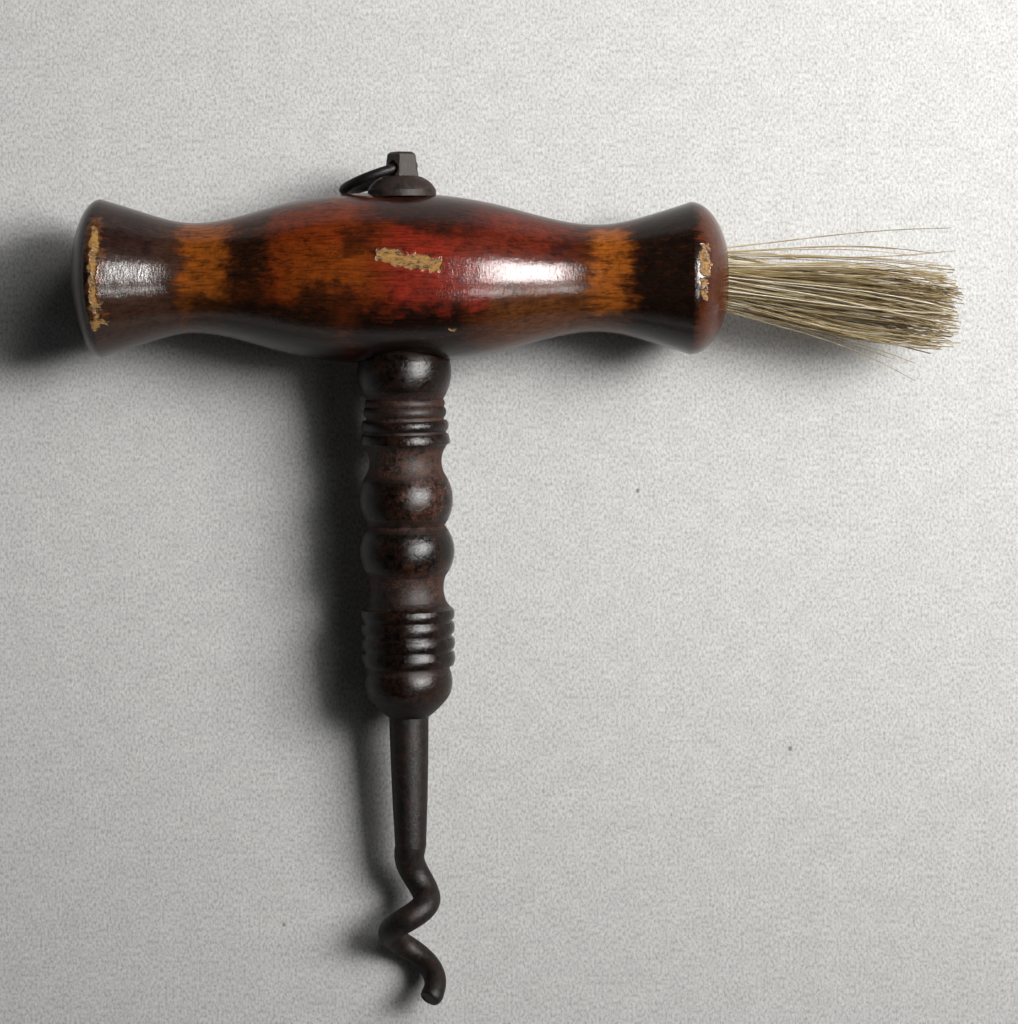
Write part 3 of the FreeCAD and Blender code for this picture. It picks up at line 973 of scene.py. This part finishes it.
@dataclass
class DustingBrush:
    """The bristle tuft with its whipping and pitch, in millimetres in the bench frame.

    Attributes:
        mouth, hidden: Where the hairs leave the socket, and how far they reach into it.
        pack_radius: Radius that the hairs fill at the mouth.
        hairs: Number of hairs in the body of the tuft, with those that are then left out.
        clumps: Number of locks that the hairs gather in.
        reach, shorter: Length of the longest hair outside, and what the shortest lacks.
        hair_width, taper: Thickness of a hair, and the share of it that it loses to its tip.
        rings: Sections along a hair.
        seed: Start of the random draws.
        thin_from, missing: Place beyond which hairs are missing, and their share there.
        pinch_from, pinched: Place beyond which roots are pulled in, and their share there.
        loyal, loose, pale: Shares that keep to the nearest lock, wander off, or are white.
        spread, droop: How much wider than the mouth the tips lie, and how much lower.
        root_tone: Tone of the bound root.
        finish: The hairs' finish.
    """

    mouth: float = 49.4
    hidden: float = 3.2
    pack_radius: float = 4.45
    hairs: int = 300
    clumps: int = 24
    reach: float = 36.0
    shorter: float = 3.8
    hair_width: float = 0.23
    taper: float = 0.35
    rings: int = 12
    seed: int = 23
    thin_from: float = 2.4
    missing: float = 0.35
    pinch_from: float = 1.3
    pinched: float = 0.65
    loyal: float = 0.6
    loose: float = 0.35
    pale: float = 0.035
    spread: Span = (1.3, 1.15)
    droop: Span = (5.3, 0.6)
    root_tone: float = 0.35
    finish: StrawHair = StrawHair()

    def build(self) -> None:
        """Model the tuft and dress its hidden parts."""
        template = self.model_hair()
        pieces = [self.lay_hair(template, line) for line in self.lines()]
        pieces.append(self.model_root())
        bpy.data.objects.remove(template)
        tuft = self.join(pieces)
        tuft.data.materials.clear()
        tuft.data.materials.append(self.finish.material())
        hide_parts("bristle_tuft")
        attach(tuft, "corkscrew")
        dress("tuft_binding", WAXED_THREAD.material())
        dress("pitch_plug", SETTING_PITCH.material())
        log.info("%s: %d faces", tuft.name, len(tuft.data.polygons))

    def model_hair(self) -> Thing:
        """Model the straight hair to copy, along Z, a unit long and thick, cut into rings.

        Returns:
            The hair that the others are copied from.
        """
        bpy.ops.object.select_all(action="DESELECT")
        bpy.ops.mesh.primitive_cylinder_add(
            vertices=4, radius=0.5, depth=1.0, location=(0.0, 0.0, 0.5), end_fill_type="NGON")
        hair = bpy.context.object
        hair.name = "hair_template"
        bpy.ops.object.transform_apply(location=True, rotation=False, scale=False)
        with editing(hair):
            for ring in range(1, self.rings):
                bpy.ops.mesh.select_all(action="SELECT")
                bpy.ops.mesh.bisect(
                    plane_co=(0.0, 0.0, ring / self.rings), plane_no=(0.0, 0.0, 1.0))
        return hair

    def at_mouth(self, index: int, count: int) -> Span:
        """Spread points evenly over the mouth.

        Args:
            index: The point's number.
            count: How many points there are.

        Returns:
            Its place across and its height.
        """
        radius = self.pack_radius * math.sqrt((index + 0.5) / count)
        turn = index * GOLDEN_ANGLE
        return radius * math.cos(turn), radius * math.sin(turn)

    def lines(self) -> list[HairLine]:
        """Draw the run of every hair.

        Returns:
            The hairs' runs.
        """
        draw = random.Random(self.seed)
        locks = []
        for index in range(self.clumps):
            y, z = self.at_mouth(index, self.clumps)
            drift = Vector((draw.uniform(-2.4, 0.8), draw.gauss(0.0, 0.7), draw.gauss(0.0, 0.7)))
            bow = Vector((0.0, draw.gauss(0.0, 0.8), draw.gauss(0.0, 0.4)))
            locks.append(Lock(y, z, drift, bow, draw.gauss(0.0, 0.09)))
        made = []
        for index in range(self.hairs):
            y, z = self.at_mouth(index, self.hairs)
            if y > self.thin_from and draw.random() < self.missing:
                continue
            made.append(self.body_hair(draw, locks, y, z))
        return made + self.strays(draw)

    def body_hair(self, draw: random.Random, locks: list[Lock], y: float, z: float) -> HairLine:
        """Draw one hair of the tuft's body.

        Args:
            draw: Source of the random draws.
            locks: The locks that the hairs gather in.
            y, z: The hair's place across and its height at the mouth.

        Returns:
            The hair's run.
        """
        near = sorted(locks, key=lambda one: (one.y - y) ** 2 + (one.z - z) ** 2)
        lock = near[0] if draw.random() < self.loyal else near[draw.randrange(1, 6)]
        gather = draw.uniform(0.55, 1.0)
        home_y = y + (lock.y - y) * gather
        home_z = z + (lock.z - z) * gather
        wander = 1.4 if draw.random() < self.loose else 0.35
        length = self.reach - self.shorter * draw.random() ** 2.0 + min(0.3 * home_y, 0.6)
        tip = Vector((
            self.mouth + length + lock.drift.x,
            home_y * self.spread[0] - self.droop[0] + lock.drift.y + draw.gauss(0.0, wander),
            home_z * self.spread[1] - self.droop[1] + lock.drift.z + draw.gauss(0.0, wander)))
        if y > self.pinch_from and draw.random() < self.pinched:
            y *= 0.5
        root = Vector((self.mouth - self.hidden, y * 0.97, z * 0.97))
        bow = lock.bow + Vector((
            0.0, draw.gauss(0.0, 1.2) + 0.12 * y, draw.gauss(0.0, 0.5) + 0.1 * z))
        wave = Vector((0.0, draw.gauss(0.0, 0.7), draw.gauss(0.0, 0.45)))
        tone = 0.95 if draw.random() < self.pale else draw.gauss(0.42, 0.13) + lock.tone
        return HairLine(root, tip, bow, self.hair_width * draw.uniform(0.7, 1.15), tone,
                        wave, draw.uniform(0.5, 1.6), draw.uniform(0.0, math.tau))

    def strays(self, draw: random.Random) -> list[HairLine]:
        """Draw the loose hairs that stand off the tuft, chosen one by one.

        Args:
            draw: Source of the random draws.

        Returns:
            Their runs.
        """
        # Each has its place and height at the mouth, then its tip, bow and tone
        ends = (
            ((4.3, 1.0), (83.2, 7.6, 1.5), (0.9, 0.0), 0.45),
            ((4.1, -0.4), (80.6, 3.9, 0.4), (1.6, 0.0), 0.35),
            ((4.2, 0.3), (78.4, 3.4, 1.2), (1.2, 0.3), 0.6),
            ((3.9, 1.6), (75.2, 4.4, 2.4), (0.9, 0.4), 0.5),
            ((4.3, -1.1), (56.5, 5.4, -0.8), (0.2, 0.0), 0.7),
            ((4.2, 0.9), (60.5, 3.0, 0.6), (0.9, 0.0), 0.8),
            ((3.4, 2.0), (84.2, 4.2, 3.0), (-1.2, 0.4), 0.5),
            ((4.0, 1.3), (83.8, 1.7, 1.8), (0.8, 0.3), 0.5),
            ((3.8, -1.2), (84.6, 1.2, 0.2), (1.1, 0.0), 0.35),
            ((4.1, 0.2), (81.8, 2.3, 1.1), (0.5, 0.2), 0.6),
            ((3.6, -2.0), (82.4, 0.4, -0.8), (1.5, 0.0), 0.45),
            ((-3.7, 1.2), (78.6, -15.6, 1.0), (2.1, 0.0), 0.5),
            ((-4.0, 0.4), (78.6, -12.9, 0.3), (1.2, 0.0), 0.55),
            ((-4.2, -1.0), (75.4, -12.3, -1.2), (1.0, 0.0), 0.6),
            ((0.6, 4.1), (83.0, -4.6, 6.3), (1.4, 0.6), 1.0),
            ((-1.6, 3.9), (84.0, -5.3, 6.0), (-0.9, 0.7), 1.0),
            ((1.9, 3.7), (82.4, 0.8, 6.1), (0.7, 0.5), 0.85),
        )
        made = []
        for (y, z), tip, bow, tone in ends:
            root = Vector((self.mouth - self.hidden, y, z))
            width = self.hair_width * draw.uniform(0.7, 0.9)
            made.append(HairLine(root, Vector(tip), Vector((0.0, *bow)), width, tone))
        return made

    def lay_hair(self, template: Thing, line: HairLine) -> Thing:
        """Copy the hair onto its run.

        Args:
            template: The straight hair.
            line: The run.

        Returns:
            The laid hair.
        """
        nearby = 0.02
        mesh = template.data.copy()
        to_frame = bench_matrix()
        for vertex in mesh.vertices:
            share = vertex.co.z
            centre = line.at(share)
            heading = (line.at(share + nearby) - line.at(share - nearby)).normalized()
            side = heading.cross(Vector((0.0, 0.0, 1.0))).normalized()
            over = side.cross(heading)
            width = line.width * (1.0 - self.taper * share)
            vertex.co = to_frame @ (
                centre + side * (vertex.co.x * width) + over * (vertex.co.y * width))
        hair = bpy.data.objects.new("hair", mesh)
        self.set_tone(hair, line.tone)
        bpy.context.scene.collection.objects.link(hair)
        return hair

    def set_tone(self, piece: Thing, tone: float) -> None:
        """Give all of a hair, or of the root, one tone.

        Args:
            piece: The hair or the root.
            tone: Its tone, 0 for dark and 1 for pale.
        """
        values = piece.data.attributes.new(HAIR_TONE, "FLOAT", "POINT")
        for value in values.data:
            value.value = tone

    def model_root(self) -> Thing:
        """Model the bound root inside the socket, with the waist for the whipping.

        Returns:
            The root.
        """
        # Place along the handle and radius, from the doubled ends over the waist to the hairs
        profile = ((38.35, 0.0), (38.35, 4.7), (41.7, 4.7), (41.8, 3.95), (46.1, 3.95),
                   (46.2, 4.6), (47.4, 4.5), (47.8, 0.0))
        mesh = bpy.data.meshes.new("tuft_root")
        mesh.from_pydata([(x, radius, 0.0) for x, radius in profile],
                         [(at, at + 1) for at in range(len(profile) - 1)], [])
        root = bpy.data.objects.new("tuft_root", mesh)
        bpy.context.scene.collection.objects.link(root)
        with editing(root):
            bpy.ops.mesh.spin(
                steps=40, angle=math.tau, center=(0.0, 0.0, 0.0), axis=(1.0, 0.0, 0.0))
            bpy.ops.mesh.select_all(action="SELECT")
            bpy.ops.mesh.remove_doubles(threshold=0.001)
            bpy.ops.mesh.normals_make_consistent(inside=False)
        root.data.transform(bench_matrix())
        self.set_tone(root, self.root_tone)
        return root

    def join(self, pieces: list[Thing]) -> Thing:
        """Make one piece, the tuft, of the hairs and the root.

        Args:
            pieces: The hairs and the root.

        Returns:
            The tuft.
        """
        bpy.ops.object.select_all(action="DESELECT")
        for piece in pieces:
            piece.select_set(True)
        bpy.context.view_layer.objects.active = pieces[-1]
        bpy.ops.object.join()
        tuft = bpy.context.object
        tuft.name = "straw_tuft"
        with editing(tuft):
            bpy.ops.mesh.normals_make_consistent(inside=False)
        bpy.ops.object.shade_smooth_by_angle(angle=math.radians(60))
        return tuft


class Reach(Enum):
    """Which part of a surface's look a lamp lights."""

    MATT = "MATT"
    SHINE = "SHINE"


@dataclass(frozen=True)
class Lamp:
    """One rectangular lamp.

    Attributes:
        name: Its name.
        place: Its centre in metres.
        size: Its width and height in metres.
        power: Its power in watts.
        reach: Whether it lights matt colour or shows in shiny surfaces.
    """

    name: str
    place: Place
    size: Span
    power: float
    reach: Reach


@dataclass
class Studio:
    """Floor, light and camera.

    Attributes:
        eye: The camera's place in millimetres, straight above the object.
        lens: Its focal length for a 36 mm long side.
        lamps: The window and the sky behind it, and how they show in shiny surfaces.
        tint, aim: The lamps' colour, and what they face.
        spread: How widely they shine, which darkens the board away from the aim.
        board: The floor's finish.
        room_low, room_high: The room's light by height, near the horizon and overhead.
        dark_side, light_side: Its strength on the left and on the right.
        backdrop_low, backdrop_high: Height up to which the backdrop is pale, and its dark end.
    """

    eye: Place = (-0.99, 10.76, 453.0)
    lens: float = 101.5
    lamps: tuple[Lamp, ...] = (
        Lamp("window", (0.335, 0.125, 0.335), (0.17, 0.26), 0.655, Reach.MATT),
        Lamp("sky", (0.25, 0.29, 0.29), (0.30, 0.30), 0.175, Reach.MATT),
        Lamp("window_glint", (0.290, 0.098, 0.385), (0.25, 0.24), 2.6, Reach.SHINE),
        Lamp("lower_glint", (0.190, -0.150, 0.410), (0.06, 0.10), 0.12, Reach.SHINE),
    )
    tint: Colour = (1.0, 0.995, 0.985)
    aim: Place = (0.02, 0.085, 0.0)
    spread: float = math.radians(90)
    board: PaleBoard = PaleBoard()
    room_low: tuple[float, Linear] = (0.03, (0.13, 0.13, 0.127, 1.0))
    room_high: tuple[float, Linear] = (0.24, (0.018, 0.018, 0.0185, 1.0))
    dark_side: float = 0.4
    light_side: float = 1.5
    backdrop_low: float = 0.04
    backdrop_high: tuple[float, Linear] = (0.26, (0.02, 0.02, 0.021, 1.0))

    def build(self) -> None:
        """Set up the camera, floor, lamps and room."""
        self.place_camera()
        self.lay_floor()
        for lamp in self.lamps:
            self.hang(lamp)
        self.light_room()
        bpy.context.scene.view_settings.view_transform = "Standard"

    def place_camera(self) -> None:
        """Look straight down on the object."""
        camera = bpy.data.cameras.new("eye")
        camera.lens = self.lens
        camera.sensor_width = 36.0
        camera.clip_start = 0.01
        holder = bpy.data.objects.new("eye", camera)
        holder.location = Vector(self.eye) * MM
        bpy.context.scene.collection.objects.link(holder)
        bpy.context.scene.camera = holder

    def lay_floor(self) -> None:
        """Lay the pale board."""
        bpy.ops.object.select_all(action="DESELECT")
        bpy.ops.mesh.primitive_plane_add(size=4.0)
        floor = bpy.context.object
        floor.name = "board"
        floor.data.materials.append(self.board.material())

    def hang(self, lamp: Lamp) -> None:
        """Hang one lamp so that it faces the object.

        Args:
            lamp: The lamp.
        """
        light = bpy.data.lights.new(lamp.name, "AREA")
        light.shape = "RECTANGLE"
        light.size, light.size_y = lamp.size
        light.energy = lamp.power
        light.color = self.tint
        light.spread = self.spread
        holder = bpy.data.objects.new(lamp.name, light)
        holder.location = lamp.place
        facing = (Vector(self.aim) - Vector(lamp.place)).to_track_quat("-Z", "Y")
        holder.rotation_euler = facing.to_euler()
        holder.visible_glossy = lamp.reach is Reach.SHINE
        holder.visible_diffuse = lamp.reach is Reach.MATT
        bpy.context.scene.collection.objects.link(holder)

    def light_room(self) -> None:
        """Fill the shadows with a dim room, and show a pale backdrop at the horizon."""
        world = bpy.data.worlds.new("room")
        world.use_nodes = True
        bpy.context.scene.world = world
        graph = Graph(world.node_tree)
        across, _, height = graph.split(graph.add("TexCoord").outputs["Generated"])
        sideways = graph.add("MapRange")
        for key, value in (("Value", across), ("From Min", -1.0),
                           ("To Min", self.dark_side), ("To Max", self.light_side)):
            graph.plug(sideways, key, value)
        room = graph.add("Background")
        graph.plug(room, "Color", graph.ramp(height, self.room_low, self.room_high))
        graph.plug(room, "Strength", sideways.outputs[0])
        backdrop = graph.add("Background")
        graph.plug(backdrop, "Color", graph.ramp(
            height, (self.backdrop_low, paint(*self.board.backdrop)), self.backdrop_high))
        choice = graph.add("MixShader")
        graph.plug(choice, 0, graph.seen_directly())
        graph.plug(choice, 1, room.outputs[0])
        graph.plug(choice, 2, backdrop.outputs[0])
        graph.plug(graph.add("OutputWorld"), "Surface", choice.outputs[0])


def main() -> None:
    """Build the studio and the pieces in order."""
    logging.basicConfig(level=logging.INFO, format="%(name)s %(message)s")
    Studio().build()
    CrossHandle().build()
    Ironwork().build()
    DustingBrush().build()


if __name__ == "__main__":
    main()
